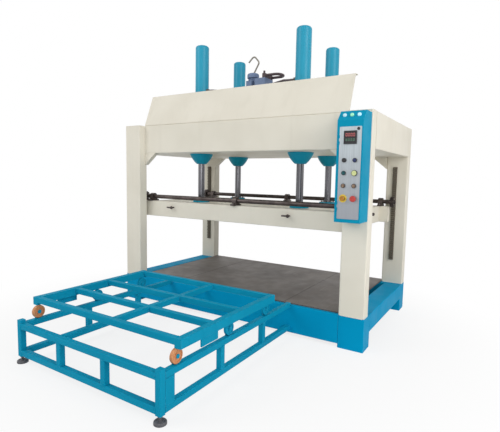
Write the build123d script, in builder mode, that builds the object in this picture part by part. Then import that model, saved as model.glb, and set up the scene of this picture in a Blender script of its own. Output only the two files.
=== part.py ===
import os
from math import atan, ceil, cos, pi, radians, sin, sqrt, tan

from build123d import *

os.makedirs("parts", exist_ok=True)

# Clearances
running_gap = 0.05  # radial gap of a rod, shaft or push button in its bore
free_gap = 0.4  # gap between pieces that lie or pass close together
cut_extra = 10.0  # how far a cut runs past the faces that it opens

# Frame of the press: four box columns between a floor frame and a head
press_width = 3170.0
press_depth = 1713.0
column_width = 250.0
column_depth = 125.0
column_corner = 14.0
infeed_reach = 1885.0  # from the front columns to the tip of the stand's feet

# Floor frame and bed
base_height = 322.0
base_corner = 8.0
base_beam_depth = 200.0
long_beam_clear = 36.0  # air under the front and back beams
side_beam_clear = 144.0  # air under the side beams
side_beam_width = 200.0
joist_width = 100.0
bed_plate_thick = 12.0
bed_margin = 45.0  # bare beam in front of and behind the plates
bed_seam = 730.0  # from the middle of the press to a seam of the bed
bed_edge = 2.0

# Head
head_bottom = 1896.0
head_height = 342.0
head_corner = 8.0
beam_setback = 90.0  # the long beams stand behind the column faces
beam_depth = 220.0
head_plate_thick = 40.0
deck_thick = 12.0
gusset_width = 180.0
gusset_drop = 148.0
gusset_thick = 60.0

# Leaning cover along the front of the head
cover_height = 385.0
cover_lean = 145.0
cover_sheet = 6.0
cover_flange = 70.0
cover_bend = 10.0
cover_stay_thick = 8.0
cover_stay_shares = (-0.4, 0.0, 0.4)

# Stroke of the platen from where it stands
stroke_down = 690.0
stroke_up = 400.0

# Hydraulic cylinders
cylinder_x = 688.0
cylinder_setback = 436.5  # from the front and the back of the press
barrel_radius = 83.0
barrel_bore = 70.0
barrel_crown = 30.0
barrel_cap = 40.0
collar_radius = 112.0
collar_height = 24.0
rod_radius = 41.0
piston_height = 90.0
piston_margin = 50.0
gland_radius = 142.0
gland_rim = 12.0
gland_height = 125.0
gland_nose = 60.0
gland_curve = 300.0  # radius of the bowl's side
rod_flange_radius = 105.0
rod_flange_thick = 28.0

# Platen
platen_bottom = 1097.0
platen_thick = 193.0
platen_gap = 35.0  # beside the columns
platen_beam_depth = 100.0
platen_clear = 10.0
platen_edge = 5.0

# Racks, pinions and the two shafts that keep the platen level
gear_module = 8.0
pinion_teeth = 14
pressure_angle = radians(20)
addendum_share = 0.8  # of the module: stub teeth, so that none is undercut
dedendum_share = 1.05
backlash = 0.6
rack_inset = 145.0  # from the outer face of a column to the middle of its rack
rack_width = 50.0
rack_depth = 30.0
pinion_width = 44.0
shaft_radius = 25.0
shaft_rise = 55.0  # from the top of the platen to the shaft
shaft_overhang = 14.0
shaft_edge = 2.0
bearing_inset = 35.0  # from the inner face of a column to the nearest bearing
bearing_radius = 44.0
bearing_length = 52.0
bearing_foot = 150.0
bearing_waist = 92.0
bearing_foot_height = 16.0

# Hooks that hang a caul board under the platen
hook_drop = 70.0  # below the top of the platen
hook_reach = 46.0
hook_radius = 9.0
hook_arm = 70.0
hook_ball = 19.0
front_hook_shares = (-0.7, 0.544)  # of the platen's half width
side_hook_place = 160.0  # behind the middle of the press

# Pump unit on the head
tank_width = 620.0
tank_depth = 400.0
tank_height = 380.0
tank_corner = 20.0
motor_x = -200.0
motor_radius = 55.0
motor_height = 304.0
motor_flange = 78.0
motor_flange_thick = 18.0
motor_neck = 42.0
cowl_radius = 75.0
cowl_height = 58.0
cowl_crown = 26.0
valve_x = -45.0
valve_width = 146.0
valve_depth = 200.0
valve_height = 218.0
valve_port = 80.0  # height of the pipes above the tank where they leave the valve
valve_port_spacing = 70.0
coil_radius = 29.0
coil_length = 88.0
coil_spacing = 78.0
manifold_width = 40.0
manifold_depth = 194.0
manifold_height = 52.0
plug_radius = 13.0
plug_height = 30.0
pipe_radius = 15.0
pipe_bend = 35.0
pipe_stub = 50.0  # straight out of the valve
pipe_arch_x = 314.0
pipe_reach = 60.0  # straight into a cylinder
pipe_arches = {
    "front_left": 70.0,
    "front_right": 136.0,
    "back_left": 247.0,
    "back_right": 110.0,
}
pipe_ends = {
    "front_left": 50.0,
    "front_right": 62.0,
    "back_left": 172.0,
    "back_right": 110.0,
}
loop_reach = 190.0
loop_half = 80.0
loop_bend = 75.0
loop_radius = 16.0
breather_x = -265.0
breather_y = 120.0
breather_radius = 10.0
breather_stem = 337.0
breather_lean = 80.0
breather_lean_height = 470.0
breather_height = 562.0
breather_mouth = 80.0
breather_mouth_height = 485.0
breather_bend = 36.0

# Control box
box_width = 230.0
box_depth = 230.0
box_low = 1238.0
box_height = 967.0
box_wall = 2.5
box_inset = 5.0  # from the outer face of the column
bevel_run = 80.0
bevel_rise = 87.0
bracket_depth = 20.0
bracket_width = 150.0
bracket_height = 60.0
bracket_inset = 120.0
lamp_radius = 17.0
lamp_base = 6.0
lamp_dome = 10.0
lamp_spacing = 64.0
door_thick = 3.0
door_left_border = 25.0
door_right_border = 12.0
door_low_border = 32.0
door_high_border = 56.0  # below the bevel
door_corner = 8.0
door_overlap = 9.0
hinge_radius = 3.0
hinge_pin = 1.5
hinge_knuckle = 26.0
hinge_leaf_width = 20.0
hinge_leaf_thick = 2.0
hinge_shares = (-0.36, 0.36)  # of the door's height, from its middle
meter_size = 112.0
meter_rim = 9.0
meter_frame = 9.0
meter_recess = 2.0
meter_body = 92.0
meter_body_depth = 60.0
meter_drop = 36.0
button_spacing = 94.0
button_row_step = 109.5
button_first_drop = 285.0  # from the top of the door to the first row
bezel_wall = 4.0
bezel_height = 11.0
bezel_floor = 2.0
sleeve_radius = 14.0
sleeve_depth = 38.0
stem_radius = 9.0
stem_depth = 26.0
cap_radius = 15.0
cap_proud = 4.0
cap_edge = 1.5
wide_cap_radius = 21.0
button_travel = 4.0
stop_radius = 26.0
stop_height = 15.0
stop_edge = 5.0
emergency_radius = 20.0
stop_plate_radius = 35.0
stop_plate_thick = 2.0
grip_width = 9.0
grip_height = 12.0
key_width = 3.0
key_radius = 10.0
lock_radius = 10.0
lock_rim = 3.0
lock_collar = 3.0
lock_inset = 28.0
lock_drop = 20.0
lock_tongue = 22.0
lock_tongue_width = 11.0
lock_tongue_thick = 3.0

# In-feed stand of welded square tube
tube = 50.0
tube_corner = 6.0
stand_half = 830.0
roller_post_depth = 90.0  # upright behind the right front post
post_bottom = 60.0
post_top = 375.0
low_rail_bottom = 66.0
high_rail_bottom = 300.0
stand_upright_x = 262.0
middle_rail_x = -272.0
stand_upright_shares = (0.37, 0.714)  # along the sides, from the front posts
foot_radius = 45.0
foot_height = 22.0
foot_crown = 9.0
foot_stem = 11.0
foot_nut = 18.0
foot_nut_height = 14.0

# Rollers on stub axles along the stand's side rails
roller_radius = 55.0
roller_width = 28.0
roller_edge = 6.0
roller_tread = 14.0
roller_recess = 5.0
roller_hub = 22.0
roller_lift = 2.0  # air under a roller
roller_shares = (0.095, 0.428, 0.745)
axle_radius = 10.0
axle_head = 16.0
axle_head_thick = 5.0
bracket_plate = 6.0
bracket_plate_width = 44.0

# Loading frame that rolls on the rollers
loading_side = 70.0  # height of its side bars
loading_bar = 50.0
loading_width = 60.0  # of a side bar
loading_overhang = 30.0  # past the sides of the stand
loading_front = 165.0  # behind the front of the stand
loading_length = 1300.0
loading_cross_shares = (0.29, 0.58)
loading_middle_x = 150.0
loading_corner = 5.0
lug_length = 200.0
lug_share = 0.172  # along the side bars, from their front ends
lug_thick = 12.0
lug_drop = 60.0
lug_corner = 2.0

# Places worked out from the sizes above
half_width = press_width / 2
column_inner = half_width - column_width
rack_x = half_width - rack_inset
bearing_x = column_inner - bearing_inset
platen_half = column_inner - platen_gap
press_front = (infeed_reach - press_depth) / 2
press_back = press_front + press_depth
press_mid = (press_front + press_back) / 2
cylinder_y = press_depth / 2 - cylinder_setback
head_top = head_bottom + head_height
head_inner_depth = press_depth - 2 * (beam_setback + beam_depth)
platen_top = platen_bottom + platen_thick
piston_bottom = head_bottom + piston_margin + stroke_down
piston_top = piston_bottom + piston_height
cylinder_top = piston_top + stroke_up + piston_margin + barrel_cap
circular_pitch = pi * gear_module
pitch_radius = gear_module * pinion_teeth / 2
addendum = gear_module * addendum_share
dedendum = gear_module * dedendum_share
shaft_z = platen_top + shaft_rise
shaft_inset = column_depth + rack_depth - addendum + pitch_radius
shaft_places = (press_front + shaft_inset, press_back - shaft_inset)
platen_inset = column_depth + rack_depth + platen_clear
platen_depth = press_depth - 2 * platen_inset
platen_front = press_front + platen_inset
stand_front = press_front - infeed_reach + foot_radius - tube / 2
stand_depth = press_front - stand_front
rail_top = high_rail_bottom + tube
roller_x = stand_half - tube / 2
roller_z = rail_top + roller_lift + roller_radius
loading_bottom = roller_z + roller_radius + free_gap
loading_top = loading_bottom + loading_side
loading_half = stand_half + loading_overhang
cylinder_places = {
    "front_left": (-cylinder_x, press_mid - cylinder_y),
    "front_right": (cylinder_x, press_mid - cylinder_y),
    "back_left": (-cylinder_x, press_mid + cylinder_y),
    "back_right": (cylinder_x, press_mid + cylinder_y),
}
on_floor = (Align.CENTER, Align.CENTER, Align.MIN)
hanging = (Align.CENTER, Align.CENTER, Align.MAX)


def save(piece, name):
    """Name a finished piece and write it to its own file."""
    piece.label = name
    export_step(piece, f"parts/{name}.step")


def side_limits(side, low, high):
    """X limits of a piece on one side of the press: side is -1 or 1."""
    return sorted((side * low, side * high))


def bar(x_limits, y_limits, z_limits, run, corner):
    """A straight bar between three pairs of limits, rounded along its run."""
    limits = (x_limits, y_limits, z_limits)
    with BuildPart(Plane([(low + high) / 2 for low, high in limits])) as piece:
        Box(*[high - low for low, high in limits])
        fillet(piece.edges().filter_by(run), corner)
    return piece.part


def together(pieces):
    """Pieces kept as separate solids in one node, such as a frame's welded bars."""
    return Compound([solid for piece in pieces for solid in piece.solids()])


# Floor frame: feet under the columns, beams between the feet, joists under the bed
base_rows = (
    (press_front, press_front + base_beam_depth),
    (press_back - base_beam_depth, press_back),
)
between_beams = (press_front + base_beam_depth, press_back - base_beam_depth)
long_beam_z = (long_beam_clear, base_height)
side_beam_z = (side_beam_clear, base_height)
base_bars = []
for row in base_rows:
    along = (-column_inner, column_inner)
    base_bars.append(bar(along, row, long_beam_z, Axis.X, base_corner))
    for side in (-1, 1):
        across = side_limits(side, column_inner, half_width)
        base_bars.append(bar(across, row, (0, base_height), Axis.Z, base_corner))
for side in (-1, 1):
    across = side_limits(side, half_width - side_beam_width, half_width)
    base_bars.append(bar(across, between_beams, side_beam_z, Axis.Y, base_corner))
for joist_x in (-bed_seam, 0, bed_seam):
    across = (joist_x - joist_width / 2, joist_x + joist_width / 2)
    base_bars.append(bar(across, between_beams, side_beam_z, Axis.Y, base_corner))
save(together(base_bars), "base_frame")

# Bed: three steel plates side by side on the floor frame
plate_limits = {
    "bed_plate_left": (-column_inner, -bed_seam),
    "bed_plate_middle": (-bed_seam, bed_seam),
    "bed_plate_right": (bed_seam, column_inner),
}
for name, (low, high) in plate_limits.items():
    with BuildPart(Plane(((low + high) / 2, press_mid, base_height))) as bed_plate:
        Box(
            high - low - free_gap,
            press_depth - 2 * bed_margin,
            bed_plate_thick,
            align=on_floor,
        )
        chamfer(bed_plate.faces().sort_by(Axis.Z)[-1].edges(), bed_edge)
    save(bed_plate.part, name)

# Columns: rectangular box sections from the floor frame to the top of the head
column_rows = (
    (press_front, press_front + column_depth),
    (press_back - column_depth, press_back),
)
between_columns = (press_front + column_depth, press_back - column_depth)
for row_name, row in zip(("front", "back"), column_rows):
    for side_name, side in (("left", -1), ("right", 1)):
        across = side_limits(side, column_inner, half_width)
        column = bar(across, row, (base_height, head_top), Axis.Z, column_corner)
        save(column, f"column_{row_name}_{side_name}")

# Head: long beams between the columns, side beams, and a thick plate for the cylinders
beam_rows = (
    (press_front + beam_setback, press_front + beam_setback + beam_depth),
    (press_back - beam_setback - beam_depth, press_back - beam_setback),
)
head_z = (head_bottom, head_top)
head_bars = []
for row in beam_rows:
    along = (-column_inner, column_inner)
    head_bars.append(bar(along, row, head_z, Axis.X, head_corner))
for side in (-1, 1):
    across = side_limits(side, column_inner, half_width)
    head_bars.append(bar(across, between_columns, head_z, Axis.Y, head_corner))
with BuildPart(Plane((0, press_mid, head_bottom))) as head_plate:
    Box(2 * column_inner, head_inner_depth, head_plate_thick, align=on_floor)
    with GridLocations(2 * cylinder_x, 2 * cylinder_y, 2, 2):
        Hole(barrel_radius + running_gap)
head_bars.append(head_plate.part)
save(together(head_bars), "head_frame")

with BuildPart(Plane((0, press_mid, head_top))) as deck:
    Box(2 * column_inner, head_inner_depth, deck_thick, align=hanging)
    with GridLocations(2 * cylinder_x, 2 * cylinder_y, 2, 2):
        Hole(barrel_radius + running_gap)
save(deck.part, "head_deck")

# Gussets: the corner plates that chamfer the front and back openings
gussets = []
gusset_rows = (beam_rows[0][0], beam_rows[1][1] - gusset_thick)
for row in gusset_rows:
    for side in (-1, 1):
        with BuildPart() as gusset:
            with BuildSketch(Plane.XZ.offset(-row)):
                with BuildLine():
                    Polyline(
                        (side * column_inner, head_bottom),
                        (side * (column_inner - gusset_width), head_bottom),
                        (side * column_inner, head_bottom - gusset_drop),
                        close=True,
                    )
                make_face()
            extrude(amount=-gusset_thick)
        gussets.append(gusset.part)
save(together(gussets), "corner_gussets")

# Leaning cover: folded sheet on the front beam, with stays behind it
cover_foot = beam_rows[0][0]
with BuildPart() as cover:
    with BuildSketch(Plane.YZ):
        with BuildLine():
            FilletPolyline(
                (cover_foot + cover_flange, head_top),
                (cover_foot, head_top),
                (cover_foot + cover_lean, head_top + cover_height),
                (cover_foot + cover_lean + cover_flange, head_top + cover_height),
                radius=cover_bend,
            )
            offset(amount=cover_sheet, side=Side.RIGHT)
        make_face()
    extrude(amount=column_inner, both=True)
    for share in cover_stay_shares:
        with BuildSketch(Plane.YZ.offset(share * press_width)):
            with BuildLine():
                Polyline(
                    (cover_foot + cover_flange, head_top + cover_sheet / 2),
                    (cover_foot + cover_sheet, head_top + cover_sheet / 2),
                    (
                        cover_foot + cover_lean + cover_sheet,
                        head_top + cover_height - cover_sheet / 2,
                    ),
                    close=True,
                )
            make_face()
        extrude(amount=cover_stay_thick / 2, both=True)
save(cover.part, "front_cover")

# Cylinder barrels: a collar on the deck, closed at the top with a rounded crown
with BuildPart() as barrel:
    with BuildSketch(Plane.XZ):
        with BuildLine():
            Polyline(
                (0, cylinder_top - barrel_cap),
                (barrel_bore, cylinder_top - barrel_cap),
                (barrel_bore, head_bottom),
                (barrel_radius, head_bottom),
                (barrel_radius, head_top),
                (collar_radius, head_top),
                (collar_radius, head_top + collar_height),
                (barrel_radius, head_top + collar_height),
                (barrel_radius, cylinder_top - barrel_crown),
            )
            RadiusArc(
                (barrel_radius, cylinder_top - barrel_crown),
                (barrel_radius - barrel_crown, cylinder_top),
                -barrel_crown,
            )
            Polyline(
                (barrel_radius - barrel_crown, cylinder_top),
                (0, cylinder_top),
                (0, cylinder_top - barrel_cap),
            )
        make_face()
    revolve(axis=Axis.Z)
for place, (x, y) in cylinder_places.items():
    save(Pos(x, y, 0) * barrel.part, f"cylinder_{place}")

# Gland flanges: turned bowls under the head that guide the rods
with BuildPart() as gland:
    with BuildSketch(Plane.XZ):
        with BuildLine():
            nose = (gland_nose, head_bottom - gland_height)
            rim = (gland_radius, head_bottom - gland_rim)
            Polyline(
                nose,
                (rod_radius + running_gap, head_bottom - gland_height),
                (rod_radius + running_gap, head_bottom),
                (gland_radius, head_bottom),
                rim,
            )
            RadiusArc(rim, nose, gland_curve)
        make_face()
    revolve(axis=Axis.Z)
glands = [Pos(x, y, 0) * gland.part for x, y in cylinder_places.values()]
save(together(glands), "gland_flanges")

# Piston rods: each turned in one piece with its piston
with BuildPart(Plane((0, 0, platen_top))) as rod:
    Cylinder(rod_radius, piston_bottom - platen_top, align=on_floor)
    with Locations((0, 0, piston_bottom - platen_top)):
        Cylinder(barrel_bore - running_gap, piston_height, align=on_floor)
rods = [Pos(x, y, 0) * rod.part for x, y in cylinder_places.values()]
save(together(rods), "piston_rods")

with BuildPart(Plane((0, 0, platen_top))) as rod_flange:
    Cylinder(rod_flange_radius, rod_flange_thick, align=on_floor)
    Hole(rod_radius + running_gap)
flanges = [Pos(x, y, 0) * rod_flange.part for x, y in cylinder_places.values()]
save(together(flanges), "rod_flanges")

# Platen: a flat welded box whose long beams reach out to the pinions
platen_beam_half = rack_x - rack_width / 2 - platen_clear
with BuildPart(Plane((0, press_mid, platen_bottom))) as platen:
    Box(2 * platen_half, platen_depth, platen_thick, align=on_floor)
    with GridLocations(0, platen_depth - platen_beam_depth, 1, 2):
        Box(2 * platen_beam_half, platen_beam_depth, platen_thick, align=on_floor)
    chamfer(platen.faces().sort_by(Axis.Z)[0].edges(), platen_edge)
    chamfer(platen.faces().sort_by(Axis.Z)[-1].edges(), platen_edge)
save(platen.part, "platen")

# Racks: bars on the columns, with a tooth space level with each shaft
teeth_below = ceil(stroke_down / circular_pitch) + 1
teeth_above = ceil(stroke_up / circular_pitch) + 1
rack_root = rack_depth - addendum - dedendum
half_space = circular_pitch / 4 + backlash / 4
tip_half = circular_pitch / 2 - half_space - addendum * tan(pressure_angle)
root_half = circular_pitch / 2 - half_space + dedendum * tan(pressure_angle)
rack_points = [(0, -teeth_below * circular_pitch)]
rack_points.append((rack_root, -teeth_below * circular_pitch))
for tooth in range(-teeth_below, teeth_above):
    middle = (tooth + 1 / 2) * circular_pitch
    rack_points.append((rack_root, middle - root_half))
    rack_points.append((rack_depth, middle - tip_half))
    rack_points.append((rack_depth, middle + tip_half))
    rack_points.append((rack_root, middle + root_half))
rack_points.append((rack_root, teeth_above * circular_pitch))
rack_points.append((0, teeth_above * circular_pitch))
with BuildPart() as rack:
    with BuildSketch(Plane.YZ):
        with BuildLine():
            Polyline(*rack_points, close=True)
        make_face()
    extrude(amount=rack_width / 2, both=True)
front_racks = [
    Pos(side * rack_x, between_columns[0], shaft_z) * rack.part for side in (-1, 1)
]
save(together(front_racks), "front_racks")
press_middle = Plane((0, press_mid, 0), x_dir=(1, 0, 0), z_dir=(0, 1, 0))
back_racks = [mirror(piece, about=press_middle) for piece in front_racks]
save(together(back_racks), "back_racks")

# Pinions: involute teeth, one of them pointing straight at its rack
base_radius = pitch_radius * cos(pressure_angle)
root_radius = pitch_radius - dedendum
tip_radius = pitch_radius + addendum


def flank_angle(radius):
    """Angle from a tooth's middle to its involute flank at a radius."""
    opening = sqrt((radius / base_radius) ** 2 - 1)
    pitch_half = pi / 2 / pinion_teeth - backlash / 4 / pitch_radius
    pitch_roll = tan(pressure_angle) - pressure_angle
    return pitch_half + pitch_roll - (opening - atan(opening))


def flank_point(radius, side):
    """A point of a tooth's flank, on the side given by -1 or 1."""
    angle = side * flank_angle(radius)
    return (radius * cos(angle), radius * sin(angle))


def tooth_foot(side):
    """Where a flank runs straight down inside the root circle."""
    angle = side * flank_angle(base_radius)
    depth = root_radius - gear_module / 2
    return (depth * cos(angle), depth * sin(angle))


flank_middle = (base_radius + tip_radius) / 2
with BuildSketch(Plane.YZ) as tooth_face:
    with BuildLine():
        for side in (-1, 1):
            Line(tooth_foot(side), flank_point(base_radius, side))
            ThreePointArc(
                flank_point(base_radius, side),
                flank_point(flank_middle, side),
                flank_point(tip_radius, side),
            )
        ThreePointArc(flank_point(tip_radius, -1), (tip_radius, 0), flank_point(tip_radius, 1))
        Line(tooth_foot(1), tooth_foot(-1))
    make_face()
with BuildPart() as pinion:
    with BuildSketch(Plane.YZ):
        Circle(root_radius)
        with PolarLocations(0, pinion_teeth):
            add(tooth_face.sketch_local)
        Circle(shaft_radius + running_gap, mode=Mode.SUBTRACT)
    extrude(amount=pinion_width / 2, both=True)

# Shafts, with a pinion near each end and a tooth phase that both racks share
shaft_half = rack_x + rack_width / 2 + shaft_overhang
with BuildPart() as shaft:
    with BuildSketch(Plane.YZ):
        Circle(shaft_radius)
    extrude(amount=shaft_half, both=True)
    chamfer(shaft.edges().filter_by(GeomType.CIRCLE), shaft_edge)
for row_name, shaft_y in zip(("front", "back"), shaft_places):
    save(Pos(0, shaft_y, shaft_z) * shaft.part, f"{row_name}_shaft")
    pair = [Pos(side * rack_x, shaft_y, shaft_z) * pinion.part for side in (-1, 1)]
    save(together(pair), f"{row_name}_pinions")

# Pillow blocks that carry the shafts on the platen
with BuildPart() as bearing:
    with BuildSketch(Plane.YZ):
        with Locations((0, shaft_rise)):
            Circle(bearing_radius)
        Rectangle(bearing_waist, bearing_foot_height, align=(Align.CENTER, Align.MIN))
        make_hull()
        Rectangle(bearing_foot, bearing_foot_height, align=(Align.CENTER, Align.MIN))
        with Locations((0, shaft_rise)):
            Circle(shaft_radius + running_gap, mode=Mode.SUBTRACT)
    extrude(amount=bearing_length / 2, both=True)
bearings = [
    Pos(x, shaft_y, platen_top) * bearing.part
    for shaft_y in shaft_places
    for x in (-bearing_x, 0, bearing_x)
]
save(together(bearings), "shaft_bearings")

# Hooks: a peg that turns sideways and ends in a ball
with BuildPart(Plane.XZ) as hook:
    Cylinder(hook_radius, hook_reach, align=on_floor)
    with BuildSketch(Plane.YZ):
        with Locations((-hook_reach, 0)):
            Circle(hook_radius)
    extrude(amount=-hook_arm)
    with Locations((0, 0, hook_reach)):
        Sphere(hook_ball)
hook_z = platen_top - hook_drop
hooks = [
    Pos(share * platen_half, platen_front, hook_z) * hook.part
    for share in front_hook_shares
]
side_turn = Pos(platen_half, press_mid + side_hook_place, hook_z) * Rot(0, 0, 90)
hooks.append(side_turn * hook.part)
save(together(hooks), "caul_hooks")

# Pump unit: oil tank on the deck, motor and valve block on the tank
tank_top = head_top + tank_height
with BuildPart(Plane((0, press_mid, head_top))) as tank:
    Box(tank_width, tank_depth, tank_height, align=on_floor)
    fillet(tank.edges().filter_by(Axis.Z), tank_corner)
save(tank.part, "oil_tank")

with BuildPart() as motor:
    with BuildSketch(Plane.XZ):
        with BuildLine():
            Polyline(
                (0, motor_height),
                (0, 0),
                (motor_flange, 0),
                (motor_flange, motor_flange_thick),
                (motor_neck, motor_flange_thick),
                (motor_neck, 2 * motor_flange_thick),
                (motor_radius, 2 * motor_flange_thick),
                (motor_radius, motor_height - cowl_height),
                (cowl_radius, motor_height - cowl_height),
                (cowl_radius, motor_height),
                close=True,
            )
        make_face()
    revolve(axis=Axis.Z)
    fillet(motor.faces().sort_by(Axis.Z)[-1].edges(), cowl_crown)
save(Pos(motor_x, press_mid, tank_top) * motor.part, "pump_motor")

with BuildPart(Plane((valve_x, press_mid, tank_top))) as valve:
    Box(valve_width, valve_depth, valve_height, align=on_floor)
    with BuildSketch(Plane.YZ.offset(valve_x + valve_width / 2)):
        with Locations((press_mid, tank_top + valve_height / 2)):
            with GridLocations(coil_spacing, 0, 2, 1):
                Circle(coil_radius)
    extrude(amount=coil_length)
save(valve.part, "valve_block")

# Pipes: one from the valve to each cylinder, arching over the deck
pipes = []
for place, (x, y) in cylinder_places.items():
    side = -1 if x < 0 else 1
    facing = -1 if y < press_mid else 1
    port_x = valve_x + side * valve_port_spacing / 2
    port_y = press_mid + facing * valve_depth / 2
    port_z = tank_top + valve_port
    arch_z = tank_top + pipe_arches[place]
    end_z = tank_top + pipe_ends[place]
    end_x = x - side * barrel_radius
    with BuildPart() as pipe:
        with BuildLine():
            FilletPolyline(
                (port_x, port_y, port_z),
                (port_x, port_y + facing * pipe_stub, port_z),
                (side * pipe_arch_x, port_y + facing * pipe_stub, arch_z),
                (end_x - side * pipe_reach, y, end_z),
                (end_x, y, end_z),
                radius=pipe_bend,
            )
        with BuildSketch(Plane((port_x, port_y, port_z), z_dir=(0, facing, 0))):
            Circle(pipe_radius)
        sweep()
    pipes.append(pipe.part)

# Hairpin hose on top of the valve, out of one end of a small manifold and into the other
valve_right = valve_x + valve_width / 2
manifold_low = tank_top + valve_height
loop_z = manifold_low + manifold_height / 2
with BuildPart(Plane((valve_right, press_mid, manifold_low))) as hairpin:
    Box(
        manifold_width,
        manifold_depth,
        manifold_height,
        align=(Align.MAX, Align.CENTER, Align.MIN),
    )
    with Locations((-manifold_width / 2, -loop_half, manifold_height)):
        Cylinder(plug_radius, plug_height, align=on_floor)
    with BuildLine(Plane.XY):
        FilletPolyline(
            (valve_right, press_mid - loop_half, loop_z),
            (valve_right + loop_reach, press_mid - loop_half, loop_z),
            (valve_right + loop_reach, press_mid + loop_half, loop_z),
            (valve_right, press_mid + loop_half, loop_z),
            radius=loop_bend,
        )
    with BuildSketch(Plane((valve_right, press_mid - loop_half, loop_z), z_dir=(1, 0, 0))):
        Circle(loop_radius)
    sweep()
pipes.append(hairpin.part)
save(together(pipes), "pressure_pipes")

# Breather: a thin tube that hooks over, so that no dust falls in
breather_base = press_mid + breather_y
with BuildPart() as breather:
    with BuildLine():
        FilletPolyline(
            (breather_x, breather_base, tank_top),
            (breather_x, breather_base, tank_top + breather_stem),
            (
                breather_x + breather_lean,
                breather_base,
                tank_top + breather_lean_height,
            ),
            (breather_x, breather_base, tank_top + breather_height),
            (
                breather_x - breather_mouth,
                breather_base,
                tank_top + breather_mouth_height,
            ),
            radius=breather_bend,
        )
    with BuildSketch(Plane((breather_x, breather_base, tank_top))):
        Circle(breather_radius)
    sweep()
save(breather.part, "breather_tube")

# Control box: folded sheet with a bevelled top, open in front behind its door
box_right = half_width - box_inset
box_left = box_right - box_width
box_mid = (box_left + box_right) / 2
box_back = press_front - bracket_depth
box_front = box_back - box_depth
box_high = box_low + box_height
door_left = box_left + door_left_border
door_right = box_right - door_right_border
door_low = box_low + door_low_border
door_high = box_high - bevel_rise - door_high_border
door_width = door_right - door_left
door_height = door_high - door_low
door_x = (door_left + door_right) / 2
door_z = (door_low + door_high) / 2
with BuildPart() as control_box:
    with BuildSketch(Plane.YZ.offset(box_left)) as box_side:
        with BuildLine():
            Polyline(
                (box_front, box_low),
                (box_front, box_high - bevel_rise),
                (box_front + bevel_run, box_high),
                (box_back, box_high),
                (box_back, box_low),
                close=True,
            )
        make_face()
    extrude(amount=box_width)
    with BuildSketch(Plane.YZ.offset(box_left + box_wall)):
        add(box_side.sketch_local)
        offset(amount=-box_wall, mode=Mode.REPLACE)
    extrude(amount=box_width - 2 * box_wall, mode=Mode.SUBTRACT)
    with BuildSketch(Plane.XZ.offset(cut_extra - box_front)):
        with Locations((door_x, door_z)):
            Rectangle(door_width - 2 * door_overlap, door_height - 2 * door_overlap)
    extrude(amount=-(cut_extra + 2 * box_wall), mode=Mode.SUBTRACT)
save(control_box.part, "control_box")

brackets = []
for bracket_z in (box_low + bracket_inset, box_high - bracket_inset):
    with BuildPart(Plane((box_mid, press_front, bracket_z))) as bracket:
        Box(
            bracket_width,
            bracket_depth,
            bracket_height,
            align=(Align.CENTER, Align.MAX, Align.CENTER),
        )
    brackets.append(bracket.part)
save(together(brackets), "box_brackets")

# Signal lamps: a low ring and a domed lens, three along the bevel
bevel = Plane(
    (box_mid, box_front + bevel_run / 2, box_high - bevel_rise / 2),
    x_dir=(1, 0, 0),
    z_dir=(0, -bevel_rise, bevel_run),
)
with BuildPart(bevel) as lamps:
    with GridLocations(lamp_spacing, 0, 3, 1):
        Cylinder(lamp_radius, lamp_base + lamp_dome, align=on_floor)
    lenses = lamps.faces().sort_by(Axis(bevel.origin, bevel.z_dir))[-3:]
    fillet(lenses.edges(), lamp_dome)
save(lamps.part, "signal_lamps")

# Door: a sheet panel over the opening of the box, hung on its left edge
door_back = box_front - free_gap
door_front = door_back - door_thick
door_face = Plane((door_x, door_front, door_z), x_dir=(1, 0, 0), z_dir=(0, -1, 0))
meter_place = (0, door_height / 2 - meter_drop - meter_size / 2)
lock_place = (door_width / 2 - lock_inset, door_height / 2 - lock_drop)
button_rows = [
    door_height / 2 - button_first_drop - row * button_row_step for row in range(4)
]
button_columns = (-button_spacing / 2, button_spacing / 2)
button_places = [(x, y) for y in button_rows for x in button_columns]
controls = (
    "black_button",
    "blue_button",
    "selector_switch",
    "start_button",
    "left_key_switch",
    "right_key_switch",
    "emergency_stop",
    "stop_button",
)
control_places = dict(zip(controls, button_places))
cap_radii = {name: cap_radius for name in controls}
cap_radii["start_button"] = wide_cap_radius
knuckle_step = hinge_knuckle + free_gap
upright = (90, 0, 0)
with BuildPart(door_face) as door:
    Box(door_width, door_height, door_thick, align=hanging)
    fillet(door.edges().filter_by(Axis.Y), door_corner)
    with Locations(*button_places):
        Hole(sleeve_radius + free_gap)
    with Locations(lock_place):
        Hole(lock_radius + running_gap)
    with Locations(meter_place):
        Box(
            meter_body + 2 * free_gap,
            meter_body + 2 * free_gap,
            2 * (door_thick + cut_extra),
            mode=Mode.SUBTRACT,
        )
    for share in hinge_shares:
        with Locations((-door_width / 2, share * door_height)):
            with GridLocations(0, 2 * knuckle_step, 1, 2):
                Box(
                    2 * (hinge_radius + free_gap),
                    hinge_knuckle + 2 * free_gap,
                    2 * (door_thick + cut_extra),
                    mode=Mode.SUBTRACT,
                )
            Cylinder(hinge_radius, hinge_knuckle, rotation=upright)
            Cylinder(
                hinge_pin + running_gap,
                hinge_knuckle + cut_extra,
                rotation=upright,
                mode=Mode.SUBTRACT,
            )
save(door.part, "control_door")

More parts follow.
